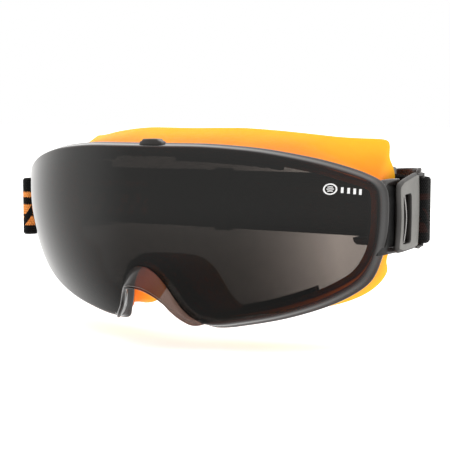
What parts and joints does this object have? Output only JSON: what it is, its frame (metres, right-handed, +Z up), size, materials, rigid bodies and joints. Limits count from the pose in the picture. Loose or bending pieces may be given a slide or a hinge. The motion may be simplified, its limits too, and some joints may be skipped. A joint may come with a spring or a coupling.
{
  "type": "welding goggles",
  "caption": "Panoramic welding goggles: smoked toric shield on a soft face seal, swivelling side buckles and an adjustable elastic strap.",
  "frame": {"origin": "on the centre plane at eye height, where the seal meets the middle of the brow", "axes": "+X to the wearer's left, +Y from the shield towards the head, +Z up"},
  "size_m": [0.1692, 0.0897, 0.0737],
  "materials": {
    "smoked_lens": "glossy smoked polycarbonate",
    "seal": "satin orange elastomer",
    "vent": "matt moulded plastic",
    "buckle": "satin moulded plastic",
    "webbing": "woven elastic webbing",
    "thread": "sewing thread",
    "keeper": "soft moulded loop"
  },
  "bodies": {
    "shield": {"lens_shield": "smoked_lens"},
    "seal": {"seal_carrier": "seal", "face_skirt": "seal", "upper_vent_insert_left": "vent", "upper_vent_insert_right": "vent", "lower_vent_insert_left": "vent", "lower_vent_insert_right": "vent"},
    "left_buckle": {"buckle_left": "buckle"},
    "right_buckle": {"buckle_right": "buckle"},
    "strap": {"strap_band": "webbing", "sewn_end_stitching": "thread", "hem_stitching": "thread"},
    "slider": {"strap_slider": "buckle"},
    "keeper": {"strap_keeper": "keeper"}
  },
  "joints": [
    {"name": "seal_release", "type": "slide", "parent": "shield", "child": "seal", "axis": [0, 1, 0], "range_m": [0, 0.006]},
    {"name": "left_buckle_swing", "type": "hinge", "parent": "shield", "child": "left_buckle", "pos_m": [0.0812, 0.0135, 0.0042], "axis": [0, 0, 1], "range_deg": [-15, 15]},
    {"name": "right_buckle_swing", "type": "hinge", "parent": "shield", "child": "right_buckle", "pos_m": [-0.0812, 0.0135, 0.0042], "axis": [0, 0, 1], "range_deg": [-15, 15]},
    {"name": "strap_pivot", "type": "hinge", "parent": "left_buckle", "child": "strap", "pos_m": [0.0812, 0.0312, 0.0042], "axis": [0, 0, 1], "range_deg": [-15, 15]},
    {"name": "slider_travel", "type": "slide", "parent": "strap", "child": "slider", "axis": [1, 0, 0], "range_m": [-0.05, 0.002]},
    {"name": "keeper_travel", "type": "slide", "parent": "strap", "child": "keeper", "axis": [1, 0, 0], "range_m": [-0.005, 0.008]}
  ],
  "couplings": [
    {"joint": "right_buckle_swing", "follows": "left_buckle_swing", "ratio": 1},
    {"joint": "strap_pivot", "follows": "left_buckle_swing", "ratio": -1}
  ]
}
